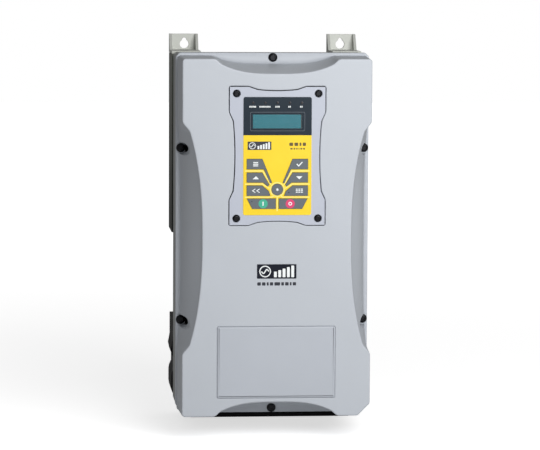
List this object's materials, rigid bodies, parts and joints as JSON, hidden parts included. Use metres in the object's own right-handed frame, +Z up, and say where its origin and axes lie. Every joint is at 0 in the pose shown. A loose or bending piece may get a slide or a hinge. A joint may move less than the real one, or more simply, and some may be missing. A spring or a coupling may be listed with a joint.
{
  "type": "variable frequency drive",
  "caption": "Wall-mounted variable frequency drive: a scalloped moulded cover with a keypad, on a cast chassis with a finned heatsink, duct and cooling fans.",
  "frame": {"origin": "centre of the rear mounting face, at the middle of the cover height", "axes": "+Y out of the back into the wall, so the front faces -Y; +Z up; +X to the right seen from the front"},
  "size_m": [0.2044, 0.1922, 0.4145],
  "materials": {
    "cover_plastic": "fine moulded texture, blue-grey",
    "panel_plastic": "fine moulded texture, a shade darker than the cover",
    "rubber_seal": "moulded black rubber",
    "black_screw": "black oxide",
    "badge_black": "satin printed plate",
    "cast_aluminium": "as cast, lightly blasted",
    "bracket_casting": "as cast",
    "plated_screw": "zinc plated",
    "rail_metal": "satin dark paint",
    "sink_aluminium": "extruded",
    "plated_steel": "zinc plated sheet",
    "black_plastic": "glass filled, satin",
    "fan_plastic": "moulded, satin",
    "rotor_plastic": "moulded, semi-gloss",
    "bronze": "sintered bronze",
    "guard_wire": "plated wire",
    "brass": "turned",
    "circuit_board": "green solder mask",
    "capacitor_sleeve": "shrink sleeve",
    "module_resin": "moulded resin",
    "terminal_plastic": "glass filled",
    "choke_winding": "enamelled winding",
    "transformer_tape": "tape wrapped",
    "ribbon": "flat cable",
    "overlay_yellow": "printed film, satin",
    "display_window": "clear window",
    "display_glass": "teal display",
    "key_plastic": "silicone rubber keypad, grey",
    "run_key_plastic": "grey with a green disc",
    "stop_key_plastic": "grey with a red disc"
  },
  "bodies": {
    "housing": {"front_cover": "cover_plastic", "cover_gasket": "rubber_seal", "cover_screws": "black_screw", "label_panel": "panel_plastic", "front_badge": "badge_black", "chassis": "cast_aluminium", "left_top_bracket": "bracket_casting", "right_top_bracket": "bracket_casting", "bracket_bolts": "plated_screw", "left_side_rail": "rail_metal", "right_side_rail": "rail_metal", "rail_screws": "plated_screw", "heatsink": "sink_aluminium", "heatsink_screws": "plated_screw", "duct_plate": "plated_steel", "duct_plate_screws": "plated_screw", "fan_tray": "black_plastic", "left_fan_frame": "fan_plastic", "right_fan_frame": "fan_plastic", "fan_bushes": "bronze", "fan_guards": "guard_wire", "fan_screws": "plated_screw", "gland_plate": "black_plastic", "gland_plate_screws": "plated_screw", "entry_plugs": "black_plastic", "entry_plug_seals": "rubber_seal", "earth_stud": "brass", "power_board": "circuit_board", "board_standoffs": "brass", "board_screws": "plated_screw", "dc_link_capacitors": "capacitor_sleeve", "rectifier_module": "module_resin", "inverter_module": "module_resin", "power_terminal_block": "terminal_plastic", "power_terminal_screws": "plated_screw", "emc_choke": "choke_winding", "supply_transformer": "transformer_tape", "control_board": "circuit_board", "control_terminal_block": "terminal_plastic", "ribbon_cable": "ribbon", "keypad_bezel": "cover_plastic", "keypad_gasket": "rubber_seal", "keypad_screws": "black_screw", "keypad_overlay": "overlay_yellow", "display_window": "display_window", "display_module": "display_glass", "keypad_board": "circuit_board", "keypad_back_cover": "black_plastic"},
    "menu_key": {"menu_key": "key_plastic"},
    "enter_key": {"enter_key": "key_plastic"},
    "up_key": {"up_key": "key_plastic"},
    "down_key": {"down_key": "key_plastic"},
    "shift_key": {"shift_key": "key_plastic"},
    "function_key": {"function_key": "key_plastic"},
    "center_key": {"center_key": "key_plastic"},
    "run_key": {"run_key": "run_key_plastic"},
    "stop_key": {"stop_key": "stop_key_plastic"},
    "left_fan": {"left_fan_rotor": "rotor_plastic"},
    "right_fan": {"right_fan_rotor": "rotor_plastic"}
  },
  "joints": [
    {"name": "menu_key_press", "type": "slide", "parent": "housing", "child": "menu_key", "axis": [0, 1, 0], "range_m": [0, 0.0008], "stiffness_N_per_m": 3000},
    {"name": "enter_key_press", "type": "slide", "parent": "housing", "child": "enter_key", "axis": [0, 1, 0], "range_m": [0, 0.0008], "stiffness_N_per_m": 3000},
    {"name": "up_key_press", "type": "slide", "parent": "housing", "child": "up_key", "axis": [0, 1, 0], "range_m": [0, 0.0008], "stiffness_N_per_m": 3000},
    {"name": "down_key_press", "type": "slide", "parent": "housing", "child": "down_key", "axis": [0, 1, 0], "range_m": [0, 0.0008], "stiffness_N_per_m": 3000},
    {"name": "shift_key_press", "type": "slide", "parent": "housing", "child": "shift_key", "axis": [0, 1, 0], "range_m": [0, 0.0008], "stiffness_N_per_m": 3000},
    {"name": "function_key_press", "type": "slide", "parent": "housing", "child": "function_key", "axis": [0, 1, 0], "range_m": [0, 0.0008], "stiffness_N_per_m": 3000},
    {"name": "center_key_press", "type": "slide", "parent": "housing", "child": "center_key", "axis": [0, 1, 0], "range_m": [0, 0.0008], "stiffness_N_per_m": 3000},
    {"name": "run_key_press", "type": "slide", "parent": "housing", "child": "run_key", "axis": [0, 1, 0], "range_m": [0, 0.0008], "stiffness_N_per_m": 3000},
    {"name": "stop_key_press", "type": "slide", "parent": "housing", "child": "stop_key", "axis": [0, 1, 0], "range_m": [0, 0.0008], "stiffness_N_per_m": 3000},
    {"name": "left_fan_spin", "type": "hinge", "parent": "housing", "child": "left_fan", "pos_m": [-0.032, -0.0335, -0.18], "axis": [0, 0, 1], "continuous": true},
    {"name": "right_fan_spin", "type": "hinge", "parent": "housing", "child": "right_fan", "pos_m": [0.032, -0.0335, -0.18], "axis": [0, 0, 1], "continuous": true}
  ]
}
